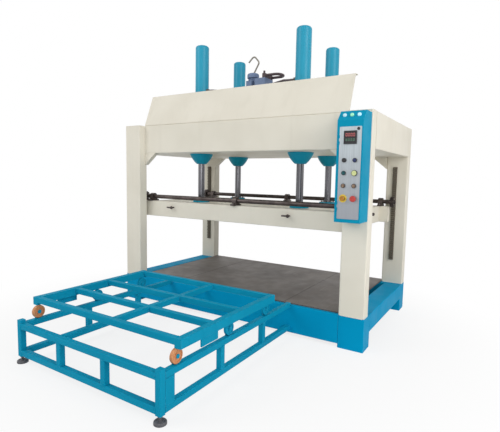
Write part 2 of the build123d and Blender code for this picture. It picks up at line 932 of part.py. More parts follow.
# Hinges: a leaf on the box, with two knuckles and the pin that the door turns on
hinges = []
for share in hinge_shares:
    hinge_middle = (door_left, door_front, door_z + share * door_height)
    with BuildPart(Plane(hinge_middle)) as hinge:
        with Locations((0, box_front - door_front, 0)):
            Box(
                hinge_leaf_width,
                hinge_leaf_thick,
                2 * knuckle_step + hinge_knuckle,
                align=(Align.MAX, Align.MAX, Align.CENTER),
            )
        Box(
            2 * (hinge_radius + free_gap),
            2 * (door_thick + cut_extra),
            hinge_knuckle + 2 * free_gap,
            mode=Mode.SUBTRACT,
        )
        Cylinder(hinge_pin, 2 * knuckle_step + hinge_knuckle)
        with Locations((0, 0, -knuckle_step), (0, 0, knuckle_step)):
            Cylinder(hinge_radius, hinge_knuckle)
    hinges.append(hinge.part)
save(together(hinges), "door_hinges")


def on_door(piece, place):
    """A piece made facing forwards at the origin, set at a place on the door."""
    x, y = place
    return Pos(door_x + x, door_front, door_z + y) * piece


# Meter: a square frame with a sunk window, and its body behind the door
with BuildPart(Plane.XZ) as meter:
    Box(meter_size, meter_size, meter_rim, align=on_floor)
    Box(meter_body, meter_body, meter_body_depth, align=hanging)
    with Locations((0, 0, meter_rim)):
        Box(
            meter_size - 2 * meter_frame,
            meter_size - 2 * meter_frame,
            2 * meter_recess,
            mode=Mode.SUBTRACT,
        )
save(on_door(meter.part, meter_place), "meter")

# Bezels: a threaded sleeve through the door with a ring that a cap sinks into
bezels = []
for name, radius in cap_radii.items():
    with BuildPart(Plane.XZ) as bezel:
        Cylinder(radius + bezel_wall, bezel_height, align=on_floor)
        Cylinder(sleeve_radius, sleeve_depth, align=hanging)
        with Locations((0, 0, bezel_height)):
            CounterBoreHole(
                stem_radius + running_gap,
                radius + free_gap,
                bezel_height - bezel_floor,
            )
    bezels.append(on_door(bezel.part, control_places[name]))
save(together(bezels), "button_bezels")

# Push buttons: two plain caps and one wide one
cap_back = bezel_floor + button_travel + free_gap
for name in ("black_button", "blue_button", "start_button"):
    with BuildPart(Plane.XZ) as button:
        Cylinder(stem_radius, stem_depth, align=hanging)
        Cylinder(stem_radius, cap_back, align=on_floor)
        with Locations((0, 0, cap_back)):
            cap_depth = bezel_height + cap_proud - cap_back
            Cylinder(cap_radii[name], cap_depth, align=on_floor)
        fillet(button.faces().sort_by(Axis.Y)[0].edges(), cap_edge)
    save(on_door(button.part, control_places[name]), name)

# Mushroom buttons: the emergency stop on its round plate, and the stop button
mushroom_radii = {"emergency_stop": emergency_radius, "stop_button": stop_radius}
for name, radius in mushroom_radii.items():
    with BuildPart(Plane.XZ) as mushroom:
        Cylinder(stem_radius, stem_depth, align=hanging)
        Cylinder(stem_radius, bezel_height + button_travel + free_gap, align=on_floor)
        with Locations((0, 0, bezel_height + button_travel + free_gap)):
            Cylinder(radius, stop_height, align=on_floor)
        fillet(mushroom.faces().sort_by(Axis.Y)[0].edges(), stop_edge)
    save(on_door(mushroom.part, control_places[name]), name)

with BuildPart(Plane.XZ) as stop_plate:
    Cylinder(stop_plate_radius, stop_plate_thick, align=on_floor)
    Hole(cap_radius + bezel_wall + free_gap)
save(on_door(stop_plate.part, control_places["emergency_stop"]), "stop_plate")

# Turning switches: one with a grip, two with a key left in
for name in ("selector_switch", "left_key_switch", "right_key_switch"):
    with BuildPart(Plane.XZ) as switch:
        Cylinder(stem_radius, stem_depth, align=hanging)
        Cylinder(stem_radius, bezel_floor + free_gap, align=on_floor)
        with Locations((0, 0, bezel_floor + free_gap)):
            Cylinder(cap_radius, bezel_height - bezel_floor, align=on_floor)
        if name == "selector_switch":
            with Locations((0, 0, bezel_height)):
                Box(grip_width, 2 * (cap_radius - cap_edge), grip_height, align=on_floor)
            grip_end = switch.faces().sort_by(Axis.Y)[0]
            fillet(grip_end.edges().filter_by(Axis.Z), cap_edge)
        else:
            with BuildSketch(Plane.YZ):
                with Locations((-bezel_height - key_radius, 0)):
                    Circle(key_radius)
            extrude(amount=key_width / 2, both=True)
    save(on_door(switch.part, control_places[name]), name)

# Lock: a barrel whose tongue hangs down when the door is free to open
tongue_depth = door_thick + free_gap + box_wall + lock_collar
with BuildPart(Plane.XZ) as lock:
    Cylinder(lock_radius + lock_collar, lock_rim, align=on_floor)
    Cylinder(lock_radius, tongue_depth, align=hanging)
    with Locations((0, -lock_tongue / 2, -tongue_depth)):
        Box(lock_tongue_width, lock_tongue + lock_tongue_width, lock_tongue_thick, align=hanging)
save(on_door(lock.part, lock_place), "door_lock")

# In-feed stand: welded square tube; the right front post is doubled under its roller
post_rows = (stand_front, stand_front + tube)
side_run = (stand_front + tube, press_front)
low_rail = (low_rail_bottom, low_rail_bottom + tube)
high_rail = (high_rail_bottom, rail_top)
between_rails = (low_rail_bottom + tube, high_rail_bottom)
stand_bars = []
for rail in (low_rail, high_rail):
    along = (tube - stand_half, stand_half - tube)
    stand_bars.append(bar(along, post_rows, rail, Axis.X, tube_corner))
for side in (-1, 1):
    across = side_limits(side, stand_half - tube, stand_half)
    post_z = (post_bottom, post_top)
    stand_bars.append(bar(across, post_rows, post_z, Axis.Z, tube_corner))
    for rail in (low_rail, high_rail):
        stand_bars.append(bar(across, side_run, rail, Axis.Y, tube_corner))
    for share in stand_upright_shares:
        middle = stand_front + share * stand_depth
        along = (middle - tube / 2, middle + tube / 2)
        stand_bars.append(bar(across, along, between_rails, Axis.Z, tube_corner))
    middle = side * stand_upright_x
    upright = (middle - tube / 2, middle + tube / 2)
    stand_bars.append(bar(upright, post_rows, between_rails, Axis.Z, tube_corner))
across = (middle_rail_x - tube / 2, middle_rail_x + tube / 2)
stand_bars.append(bar(across, side_run, high_rail, Axis.Y, tube_corner))
across = (stand_half - tube, stand_half)
along = (stand_front + tube, stand_front + tube + roller_post_depth)
stand_bars.append(bar(across, along, between_rails, Axis.Z, tube_corner))
save(together(stand_bars), "stand_frame")

# Levelling feet: a crowned pad, its stem and the lock nut under each post
with BuildPart() as foot:
    Cylinder(foot_radius, foot_height, align=on_floor)
    fillet(foot.faces().sort_by(Axis.Z)[-1].edges(), foot_crown)
    Cylinder(foot_stem, post_bottom, align=on_floor)
    with BuildSketch(Plane.XY.offset(post_bottom - foot_nut_height)):
        RegularPolygon(foot_nut, 6)
    extrude(amount=foot_nut_height)
foot_x = stand_half - tube / 2
foot_y = stand_front + tube / 2
feet = [Pos(side * foot_x, foot_y, 0) * foot.part for side in (-1, 1)]
save(together(feet), "levelling_feet")

# Rollers, each on a stub axle that an upright plate holds on the rail
roller_inner = -roller_width / 2 - free_gap
with BuildPart() as roller_stand:
    with BuildSketch(Plane.YZ.offset(roller_inner)):
        Circle(bracket_plate_width / 2)
        Rectangle(
            bracket_plate_width,
            roller_radius + roller_lift,
            align=(Align.CENTER, Align.MAX),
        )
    extrude(amount=-bracket_plate)
    with BuildSketch(Plane.YZ.offset(roller_inner)):
        Circle(axle_radius)
    extrude(amount=roller_width + 2 * free_gap)
    with BuildSketch(Plane.YZ.offset(-roller_inner)):
        Circle(axle_head)
    extrude(amount=axle_head_thick)
with BuildPart(Plane.YZ) as roller:
    Cylinder(roller_radius, roller_width)
    fillet(roller.edges(), roller_edge)
    for face in (-1, 1):
        with Locations((0, 0, face * roller_width / 2)):
            Cylinder(
                roller_radius - roller_tread,
                2 * roller_recess,
                mode=Mode.SUBTRACT,
            )
    Cylinder(roller_hub, roller_width)
    Hole(axle_radius + running_gap)
roller_stands = []
for row_name, share in zip(("front", "middle", "back"), roller_shares):
    roller_y = stand_front + share * stand_depth
    for side_name, side in (("left", -1), ("right", 1)):
        place = Pos(side * roller_x, roller_y, roller_z)
        roller_stands.append(place * roller_stand.part)
        save(place * roller.part, f"roller_{row_name}_{side_name}")
save(together(roller_stands), "roller_stands")

# Loading frame: a welded ladder on the rollers, with lugs that keep it between the rails
loading_start = stand_front + loading_front
loading_end = loading_start + loading_length
loading_inner = loading_half - loading_width
bar_z = (loading_top - loading_bar, loading_top)
loading_bars = []
for side in (-1, 1):
    across = side_limits(side, loading_inner, loading_half)
    side_z = (loading_bottom, loading_top)
    along = (loading_start, loading_end)
    loading_bars.append(bar(across, along, side_z, Axis.Y, loading_corner))
    lug_outer = loading_half - loading_corner
    across = side_limits(side, lug_outer - lug_thick, lug_outer)
    lug_start = loading_start + lug_share * loading_length
    along = (lug_start, lug_start + lug_length)
    lug_z = (loading_bottom - lug_drop, loading_bottom)
    loading_bars.append(bar(across, along, lug_z, Axis.Z, lug_corner))
rung_starts = [loading_start]
rung_starts += [loading_start + share * loading_length for share in loading_cross_shares]
rung_starts.append(loading_end - loading_bar)
for start in rung_starts:
    across = (-loading_inner, loading_inner)
    along = (start, start + loading_bar)
    loading_bars.append(bar(across, along, bar_z, Axis.X, loading_corner))
for start, stop in zip(rung_starts, rung_starts[1:]):
    across = (loading_middle_x - loading_bar / 2, loading_middle_x + loading_bar / 2)
    along = (start + loading_bar, stop)
    loading_bars.append(bar(across, along, bar_z, Axis.Y, loading_corner))
save(together(loading_bars), "loading_frame")
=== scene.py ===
import math

import bpy
from mathutils import Matrix, Vector


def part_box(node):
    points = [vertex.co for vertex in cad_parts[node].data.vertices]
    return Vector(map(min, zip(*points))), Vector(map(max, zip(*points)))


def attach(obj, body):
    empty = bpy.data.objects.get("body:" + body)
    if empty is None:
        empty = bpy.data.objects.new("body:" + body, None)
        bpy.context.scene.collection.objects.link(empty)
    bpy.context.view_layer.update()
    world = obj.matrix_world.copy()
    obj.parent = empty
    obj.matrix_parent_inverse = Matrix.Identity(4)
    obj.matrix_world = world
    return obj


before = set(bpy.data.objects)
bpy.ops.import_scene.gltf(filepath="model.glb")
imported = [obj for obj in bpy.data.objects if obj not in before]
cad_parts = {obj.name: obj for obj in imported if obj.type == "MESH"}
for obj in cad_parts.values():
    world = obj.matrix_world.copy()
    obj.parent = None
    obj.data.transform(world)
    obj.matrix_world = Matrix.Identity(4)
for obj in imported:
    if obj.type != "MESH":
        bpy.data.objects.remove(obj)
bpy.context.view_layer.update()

bpy.ops.object.select_all(action="DESELECT")


# Floor frame: feet, long beams, side beams and joists of welded box section.
# It is sprayed with teal-blue enamel, a little rubbed along the edges and streaked with dust.
# The helpers for finishes start here, because this is the first painted piece.
def tint(red, green, blue):
    """A colour written as it looks on a screen, as the linear colour that a shader takes."""
    parts = []
    for part in (red, green, blue):
        share = part / 255
        parts.append(share / 12.92 if share < 0.04045 else ((share + 0.055) / 1.055) ** 2.4)
    return (*parts, 1.0)


def start_material(name):
    """A new material with its tree, its shader and an Object coordinate socket."""
    material = bpy.data.materials.new(name)
    material.use_nodes = True
    tree = material.node_tree
    coords = tree.nodes.new("ShaderNodeTexCoord")
    return material, tree, tree.nodes["Principled BSDF"], coords.outputs["Object"]


def noise(tree, place, scale, detail=3.0, stretch=(1.0, 1.0, 1.0)):
    """A noise pattern's value, with the coordinates stretched if that is asked."""
    mapping = tree.nodes.new("ShaderNodeMapping")
    mapping.inputs["Scale"].default_value = stretch
    tree.links.new(place, mapping.inputs["Vector"])
    pattern = tree.nodes.new("ShaderNodeTexNoise")
    pattern.inputs["Scale"].default_value = scale
    pattern.inputs["Detail"].default_value = detail
    tree.links.new(mapping.outputs["Vector"], pattern.inputs["Vector"])
    return pattern.outputs["Fac"]


def spread(tree, value, low, high, bottom=0.0, top=1.0):
    """A value between low and high, spread smoothly between bottom and top."""
    ranged = tree.nodes.new("ShaderNodeMapRange")
    ranged.interpolation_type = "SMOOTHSTEP"
    ranged.inputs["From Min"].default_value = low
    ranged.inputs["From Max"].default_value = high
    ranged.inputs["To Min"].default_value = bottom
    ranged.inputs["To Max"].default_value = top
    tree.links.new(value, ranged.inputs["Value"])
    return ranged.outputs["Result"]


def times(tree, first, second):
    """Two values multiplied; the second may be a plain number."""
    product = tree.nodes.new("ShaderNodeMath")
    product.operation = "MULTIPLY"
    tree.links.new(first, product.inputs[0])
    if isinstance(second, float):
        product.inputs[1].default_value = second
    else:
        tree.links.new(second, product.inputs[1])
    return product.outputs["Value"]


def mixed(tree, share, first, second):
    """Two colours mixed by a share; each may be a plain colour or a socket."""
    mix = tree.nodes.new("ShaderNodeMix")
    mix.data_type = "RGBA"
    tree.links.new(share, mix.inputs["Factor"])
    for socket, colour in (("A", first), ("B", second)):
        target = [s for s in mix.inputs if s.name == socket and s.type == "RGBA"][0]
        if isinstance(colour, tuple):
            target.default_value = colour
        else:
            tree.links.new(colour, target)
    return [s for s in mix.outputs if s.type == "RGBA"][0]


def edges_of(tree, reach):
    """A mask that is 1 on sharp edges: where a rounded normal leaves the flat one."""
    flat_enough, sharp_enough = 0.97, 0.80
    rounded = tree.nodes.new("ShaderNodeBevel")
    rounded.samples = 4
    rounded.inputs["Radius"].default_value = reach
    flat = tree.nodes.new("ShaderNodeNewGeometry")
    dot = tree.nodes.new("ShaderNodeVectorMath")
    dot.operation = "DOT_PRODUCT"
    tree.links.new(rounded.outputs["Normal"], dot.inputs[0])
    tree.links.new(flat.outputs["Normal"], dot.inputs[1])
    return spread(tree, dot.outputs["Value"], flat_enough, sharp_enough)


def surface(tree, shader, colour, roughness):
    """A colour and a roughness pattern, joined to the shader."""
    tree.links.new(colour, shader.inputs["Base Color"])
    tree.links.new(roughness, shader.inputs["Roughness"])


def bumped(tree, shader, height, strength, distance):
    """A bump on the shader's normal from a height pattern."""
    bump = tree.nodes.new("ShaderNodeBump")
    bump.inputs["Strength"].default_value = strength
    bump.inputs["Distance"].default_value = distance
    tree.links.new(height, bump.inputs["Height"])
    tree.links.new(bump.outputs["Normal"], shader.inputs["Normal"])


def enamel(name, colour, shade, worn, gloss=0.38, sheen=0.12):
    """Sprayed enamel: uneven tone, dust streaks, rubbed edges and a fine orange peel."""
    cloud_share, streak_share, rubbed_share = 0.45, 0.30, 0.55
    downwards = (1.0, 1.0, 0.12)
    edge_reach = 0.007
    smoothest, dullest = gloss - 0.06, gloss + 0.12
    material, tree, shader, place = start_material(name)
    clouds = spread(tree, noise(tree, place, scale=1.6, detail=5.0), 0.30, 0.70)
    streaks = spread(tree, noise(tree, place, scale=9.0, stretch=downwards), 0.52, 0.80)
    cloudy = mixed(tree, times(tree, clouds, cloud_share), colour, shade)
    streaked = mixed(tree, times(tree, streaks, streak_share), cloudy, shade)
    specks = spread(tree, noise(tree, place, scale=46.0, detail=4.0), 0.46, 0.62)
    rubbed = times(tree, edges_of(tree, edge_reach), specks)
    painted = mixed(tree, times(tree, rubbed, rubbed_share), streaked, worn)
    dull = spread(tree, noise(tree, place, scale=5.0, detail=4.0), 0.2, 0.8, smoothest, dullest)
    surface(tree, shader, painted, dull)
    shader.inputs["Specular IOR Level"].default_value = sheen
    orange_peel = noise(tree, place, scale=240.0, detail=2.0)
    bumped(tree, shader, orange_peel, strength=0.10, distance=0.0006)
    return material


def dress(node, material):
    """Give every slot of a frame node the same material."""
    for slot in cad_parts[node].material_slots:
        slot.material = material


teal = enamel(
    "teal_enamel",
    colour=tint(0, 154, 200),
    shade=tint(0, 137, 182),
    worn=tint(84, 170, 200),
    gloss=0.44,
    sheen=0.03,
)
dress("base_frame", teal)

# Bed: three dark rolled plates laid side by side on the floor frame.
# Their mill scale is rubbed by boards, with faint scratches along the in-feed direction.
# Dirt has settled in the seams between them.
scale_dark, scale_pale = tint(98, 92, 88), tint(116, 110, 105)
scratch_bright, seam_dirt = tint(150, 146, 142), tint(58, 53, 50)
scratch_share, seam_share = 0.35, 0.95
seam_reach = 0.016
along_feed = (1.0, 0.03, 1.0)
bed_steel, tree, shader, place = start_material("bed_plate_steel")
scale_tone = spread(tree, noise(tree, place, scale=2.2, detail=6.0), 0.30, 0.72)
mill_scale = mixed(tree, scale_tone, scale_dark, scale_pale)
scratches = spread(tree, noise(tree, place, scale=60.0, detail=2.0, stretch=along_feed), 0.62, 0.74)
scratched = mixed(tree, times(tree, scratches, scratch_share), mill_scale, scratch_bright)
seams = times(tree, edges_of(tree, seam_reach), seam_share)
plate_colour = mixed(tree, seams, scratched, seam_dirt)
plate_dull = spread(tree, noise(tree, place, scale=7.0, detail=4.0), 0.2, 0.8, 0.48, 0.66)
surface(tree, shader, plate_colour, plate_dull)
shader.inputs["Metallic"].default_value = 0.35
bumped(tree, shader, noise(tree, place, scale=120.0, detail=4.0), strength=0.18, distance=0.0008)
for side in ("left", "middle", "right"):
    dress(f"bed_plate_{side}", bed_steel)

# Columns: four upright box sections welded to the feet and to the head.
# They are sprayed cream, like the whole upper frame, with small chips on the corners.
# A painted weld bead runs along the foot of each front face.
corners = [(row, side) for row in ("front", "back") for side in ("left", "right")]
cream = enamel(
    "cream_enamel", colour=tint(232, 227, 213), shade=tint(214, 208, 192), worn=tint(178, 170, 152), gloss=0.42
)
for row, side in corners:
    dress(f"column_{row}_{side}", cream)


def settle(piece, name, angle=35.0):
    """Back in object mode: place into the mesh, smooth faces with sharp edges kept, and a name."""
    bpy.ops.object.mode_set(mode="OBJECT")
    bpy.ops.object.transform_apply(location=True, rotation=True, scale=True)
    bpy.ops.object.shade_smooth_by_angle(angle=math.radians(angle))
    piece.name = name
    return piece


def fit(piece, body, material):
    """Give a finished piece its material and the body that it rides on."""
    piece.data.materials.clear()
    piece.data.materials.append(material)
    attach(piece, body)
    bpy.ops.object.select_all(action="DESELECT")


def spread_out(model, name, places, body, material):
    """Copies of a model, each with its own mesh, joined into one piece that rides on a body."""
    bpy.ops.object.select_all(action="DESELECT")
    copies = []
    for place in places:
        copy = model.copy()
        copy.data = model.data.copy()
        bpy.context.scene.collection.objects.link(copy)
        copy.data.transform(place)
        copy.select_set(True)
        copies.append(copy)
    bpy.data.objects.remove(model)
    bpy.context.view_layer.objects.active = copies[0]
    bpy.ops.object.join()
    piece = bpy.context.object
    piece.name = name
    fit(piece, body, material)


def weld_bead(length):
    """A rippled bead of weld metal along X, round the origin, with tapered ends."""
    bead_radius, ripple_pitch = 0.0045, 0.006
    swell_middle, swell_depth = 0.86, 0.14
    end_share, end_swell = 0.01, 0.55
    ripples = max(4, round(length / ripple_pitch))
    bpy.ops.mesh.primitive_cylinder_add(
        vertices=10, radius=bead_radius, depth=length, rotation=(0.0, math.pi / 2, 0.0)
    )
    bead = bpy.context.object
    bpy.ops.object.transform_apply(location=True, rotation=True, scale=True)
    bpy.ops.object.mode_set(mode="EDIT")
    bpy.ops.mesh.select_mode(type="EDGE")
    bpy.ops.mesh.select_all(action="DESELECT")
    bpy.ops.object.mode_set(mode="OBJECT")
    for edge in bead.data.edges:
        start, end = (bead.data.vertices[corner].co.x for corner in edge.vertices)
        edge.select = abs(end - start) > length / 2
    bpy.ops.object.mode_set(mode="EDIT")
    bpy.ops.mesh.subdivide(number_cuts=2 * ripples - 1)
    bpy.ops.object.mode_set(mode="OBJECT")
    for vertex in bead.data.vertices:
        share = vertex.co.x / length + 0.5
        swell = swell_middle + swell_depth * math.cos(2 * math.pi * share * ripples)
        if min(share, 1.0 - share) < end_share:
            swell = end_swell
        vertex.co.y *= swell
        vertex.co.z *= swell
    return settle(bead, "weld_bead")


foot_weld = 0.215
column_welds = []
for row, side in corners:
    low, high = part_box(f"column_{row}_{side}")
    column_welds.append(Matrix.Translation(((low.x + high.x) / 2, low.y, low.z)))
spread_out(weld_bead(foot_weld), "column_welds", column_welds, "press_frame", cream)

# Head: welded box beams round a thick plate that the four cylinders hang in.
# The corner gussets and the leaning cover of folded sheet share its cream enamel.
for node in ("head_frame", "head_deck", "corner_gussets", "front_cover"):
    dress(node, cream)

# Bolts: hexagon heads on round washers, turned, chamfered and left dark from the oil.
# Six hold the cover's foot to the front beam; the same bolt returns on the other flanges.
bolt_dark, bolt_pale = tint(92, 88, 86), tint(122, 118, 116)
bolt_steel, tree, shader, place = start_material("bolt_steel")
shader.inputs["Metallic"].default_value = 0.8
blued = spread(tree, noise(tree, place, scale=40.0), 0.3, 0.7)
bolt_dull = spread(tree, noise(tree, place, scale=70.0), 0.2, 0.8, 0.28, 0.46)
surface(tree, shader, mixed(tree, blued, bolt_dark, bolt_pale), bolt_dull)
bumped(tree, shader, noise(tree, place, scale=500.0, detail=2.0), strength=0.10, distance=0.0003)


def select_faces(piece, test):
    """Leave the piece in edit mode with only the faces selected that pass the test."""
    bpy.ops.object.mode_set(mode="EDIT")
    bpy.ops.mesh.select_mode(type="FACE")
    bpy.ops.mesh.select_all(action="DESELECT")
    bpy.ops.object.mode_set(mode="OBJECT")
    for face in piece.data.polygons:
        face.select = test(face)
    bpy.ops.object.mode_set(mode="EDIT")


def hexagon_bolt(across, height):
    """A bolt head that stands on the origin: washer, hexagon and a chamfered, dished top."""
    washer_radius, washer_thick = 0.66 * across, 0.2 * height
    washer_edge = 0.25 * washer_thick
    chamfer_width, chamfer_rise = 0.08 * across, 0.10 * height
    land_width = 0.12 * across
    dish_width, dish_depth = 0.03 * across, 0.05 * height
    bpy.ops.mesh.primitive_cylinder_add(
        vertices=24, radius=washer_radius, depth=washer_thick, location=(0.0, 0.0, washer_thick / 2)
    )
    washer = bpy.context.object
    bpy.ops.object.mode_set(mode="EDIT")
    bpy.ops.mesh.bevel(offset=washer_edge, segments=1, affect="EDGES")
    settle(washer, "washer")
    bpy.ops.mesh.primitive_cylinder_add(
        vertices=6,
        radius=across / math.sqrt(3),
        depth=height - washer_thick,
        location=(0.0, 0.0, (height + washer_thick) / 2),
    )
    head = bpy.context.object
    select_faces(head, lambda face: face.normal.z > 0.9)
    bpy.ops.mesh.inset(thickness=chamfer_width, depth=chamfer_rise)
    bpy.ops.mesh.inset(thickness=land_width, depth=0.0)
    bpy.ops.mesh.inset(thickness=dish_width, depth=-dish_depth)
    settle(head, "hexagon_bolt")
    washer.select_set(True)
    bpy.context.view_layer.objects.active = head
    bpy.ops.object.join()
    return bpy.context.object


cover_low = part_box("front_cover")[0]
cover_sheet, cover_bolt_setback = 0.006, 0.045
cover_bolt_y, cover_bolt_z = cover_low.y + cover_bolt_setback, cover_low.z + cover_sheet
cover_bolt_xs = (-1.12, -0.70, -0.28, 0.28, 0.70, 1.12)
cover_bolts = [Matrix.Translation((x, cover_bolt_y, cover_bolt_z)) for x in cover_bolt_xs]
cover_bolt = hexagon_bolt(across=0.016, height=0.010)
spread_out(cover_bolt, "cover_bolts", cover_bolts, "press_frame", bolt_steel)


# Cylinders: drawn barrels with a rounded closed crown, sprayed a lighter teal.
# Turned gland bowls under the head and flanges on the platen have a deeper one.
# Each barrel's collar is bolted to the deck, and each rod's flange to the platen.
def middle_of(node):
    """The middle of a frame node's box at rest."""
    low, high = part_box(node)
    return [(lowest + highest) / 2 for lowest, highest in zip(low, high)]


def ring(x, y, z, radius, count, first=0.5):
    """Places round an upright axis, each turned with it; the first is that share of a step on."""
    places = []
    for step in range(count):
        turn = 2 * math.pi * (step + first) / count
        spot = (x + radius * math.cos(turn), y + radius * math.sin(turn), z)
        places.append(Matrix.Translation(spot) @ Matrix.Rotation(turn, 4, "Z"))
    return places


barrel_teal = enamel(
    "barrel_enamel",
    colour=tint(50, 160, 190),
    shade=tint(36, 144, 174),
    worn=tint(140, 190, 205),
    gloss=0.30,
    sheen=0.20,
)
gland_teal = enamel(
    "gland_enamel", colour=tint(26, 156, 186), shade=tint(14, 134, 164), worn=tint(100, 165, 185), gloss=0.34
)
collar_thick, collar_bolt_circle, collar_bolt_count = 0.024, 0.0975, 8
flange_bolt_circle, flange_bolt_count = 0.073, 6
collar_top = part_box("head_deck")[1].z + collar_thick
flange_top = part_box("rod_flanges")[1].z
collar_bolts, flange_bolts = [], []
for row, side in corners:
    dress(f"cylinder_{row}_{side}", barrel_teal)
    x, y, _ = middle_of(f"cylinder_{row}_{side}")
    collar_bolts += ring(x, y, collar_top, collar_bolt_circle, collar_bolt_count)
    flange_bolts += ring(x, y, flange_top, flange_bolt_circle, flange_bolt_count)
dress("gland_flanges", gland_teal)
dress("rod_flanges", gland_teal)
collar_bolt = hexagon_bolt(across=0.016, height=0.011)
spread_out(collar_bolt, "collar_bolts", collar_bolts, "press_frame", bolt_steel)
flange_bolt = hexagon_bolt(across=0.020, height=0.014)
spread_out(flange_bolt, "flange_bolts", flange_bolts, "platen", bolt_steel)

# Piston rods: ground and hard-chromed bar that slides in the glands.
# The seals leave faint lengthwise wipe marks and a film of oil.
chrome_pale, chrome_dark = tint(122, 121, 125), tint(96, 96, 100)
lengthwise, round_the_rod = (1.0, 1.0, 0.06), (0.05, 0.05, 1.0)
hard_chrome, tree, shader, place = start_material("hard_chrome")
shader.inputs["Metallic"].default_value = 1.0
wipes = noise(tree, place, scale=30.0, stretch=lengthwise)
wiped = mixed(tree, spread(tree, wipes, 0.3, 0.7), chrome_pale, chrome_dark)
surface(tree, shader, wiped, spread(tree, wipes, 0.2, 0.8, 0.16, 0.26))
grinding = noise(tree, place, scale=400.0, detail=1.0, stretch=round_the_rod)
bumped(tree, shader, grinding, strength=0.05, distance=0.0002)
dress("piston_rods", hard_chrome)

# Platen: a flat welded box of steel plate that the four rods push down on the boards.
# It is sprayed in the same cream as the columns and the head.
dress("platen", cream)

# Levelling gear: two shafts in pillow blocks on the platen, whose pinions run on four racks.
# Shafts, pinions, blocks and the platen's hooks are dark oiled steel, rubbed bright on the edges.
# The racks have a brown coating, and every block is held down by two bolts.
oil_dark, oil_pale, rubbed_bright = tint(64, 56, 55), tint(88, 79, 76), tint(150, 146, 142)
rubbed_reach, rubbed_share = 0.003, 0.8
oiled_steel, tree, shader, place = start_material("oiled_steel")
shader.inputs["Metallic"].default_value = 0.7
oiled = mixed(tree, spread(tree, noise(tree, place, scale=14.0, detail=4.0), 0.3, 0.7), oil_dark, oil_pale)
specks = spread(tree, noise(tree, place, scale=90.0), 0.4, 0.6)
rubbed = times(tree, edges_of(tree, rubbed_reach), specks)
oiled_colour = mixed(tree, times(tree, rubbed, rubbed_share), oiled, rubbed_bright)
surface(tree, shader, oiled_colour, spread(tree, noise(tree, place, scale=22.0), 0.2, 0.8, 0.30, 0.48))
bumped(tree, shader, noise(tree, place, scale=260.0), strength=0.12, distance=0.0004)
for node in ("front_shaft", "back_shaft", "front_pinions", "back_pinions", "shaft_bearings", "caul_hooks"):
    dress(node, oiled_steel)
rack_coat = enamel(
    "rack_coating",
    colour=tint(112, 105, 92),
    shade=tint(88, 82, 72),
    worn=tint(150, 145, 136),
    gloss=0.40,
    sheen=0.30,
)
dress("front_racks", rack_coat)
dress("back_racks", rack_coat)
bearing_low, bearing_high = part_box("shaft_bearings")
bearing_half_length, bearing_foot_height, bearing_bolt_reach = 0.026, 0.016, 0.061
bearing_xs = (bearing_low.x + bearing_half_length, 0.0, bearing_high.x - bearing_half_length)
bearing_bolts = []
for row in ("front", "back"):
    shaft_y = middle_of(f"{row}_shaft")[1]
    for x in bearing_xs:
        for reach in (-bearing_bolt_reach, bearing_bolt_reach):
            spot = (x, shaft_y + reach, bearing_low.z + bearing_foot_height)
            bearing_bolts.append(Matrix.Translation(spot))
bearing_bolt = hexagon_bolt(across=0.018, height=0.012)
spread_out(bearing_bolt, "bearing_bolts", bearing_bolts, "platen", bolt_steel)

# Pump unit: oil tank, motor and valve block stand on the deck behind the cover.
# They are sprayed blue-grey, and the motor's cast housing has a ring of cooling ribs.
pump_grey = enamel(
    "pump_enamel", colour=tint(132, 150, 182), shade=tint(106, 124, 156), worn=tint(170, 180, 192), gloss=0.40
)
for node in ("oil_tank", "pump_motor", "valve_block"):
    dress(node, pump_grey)


def block(size, middle=(0.0, 0.0, 0.0)):
    """A block of that size round its middle, with its place in its mesh."""
    bpy.ops.mesh.primitive_cube_add(size=1.0, location=middle)
    piece = bpy.context.object
    piece.scale = size
    bpy.ops.object.transform_apply(location=True, rotation=True, scale=True)
    return piece


def cooling_rib(length, height, thick):
    """One cooling rib that stands along Z and points along X, with a chamfered outer edge."""
    edge_inset, edge_rise = 0.25 * thick, 0.3 * thick
    model = block((height, thick, length))
    select_faces(model, lambda face: face.normal.x > 0.9)
    bpy.ops.mesh.inset(thickness=edge_inset, depth=0.0)
    bpy.ops.transform.translate(value=(edge_rise, 0.0, 0.0))
    return settle(model, "cooling_rib", angle=50.0)


motor_x, motor_y, _ = middle_of("pump_motor")
motor_radius = 0.055
rib_count, rib_rise = 24, 0.141
rib_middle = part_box("pump_motor")[0].z + rib_rise
ribs = ring(motor_x, motor_y, rib_middle, motor_radius, rib_count, first=0.0)
motor_rib = cooling_rib(length=0.196, height=0.012, thick=0.004)
spread_out(motor_rib, "motor_ribs", ribs, "press_frame", pump_grey)

# Terminal box: a small cast box on the motor's front for the mains terminals.
# Its lid stands out a little all round, is sunk in the middle and is sprayed with the motor.
terminal_width, terminal_depth, terminal_height, terminal_rise = 0.074, 0.044, 0.068, 0.02
lid_thick, lid_growth = 0.006, 1.07
lid_sink = lid_thick / 4
terminal_y = motor_y - motor_radius - terminal_depth / 2
terminal_middle = Vector((motor_x, terminal_y, rib_middle + terminal_rise))
terminal_box = block((terminal_width, terminal_depth, terminal_height), terminal_middle)
select_faces(terminal_box, lambda face: face.normal.y < -0.9)
bpy.ops.mesh.extrude_region_move(TRANSFORM_OT_translate={"value": (0.0, 0.0, 0.0)})
bpy.ops.transform.resize(value=(lid_growth, 1.0, lid_growth), center_override=terminal_middle)
bpy.ops.mesh.extrude_region_move(TRANSFORM_OT_translate={"value": (0.0, -lid_thick, 0.0)})
bpy.ops.mesh.inset(thickness=lid_thick, depth=0.0)
bpy.ops.mesh.inset(thickness=lid_sink, depth=-lid_sink)
bpy.ops.mesh.select_all(action="SELECT")
bpy.ops.mesh.normals_make_consistent(inside=False)
settle(terminal_box, "motor_terminal_box")
fit(terminal_box, "press_frame", pump_grey)

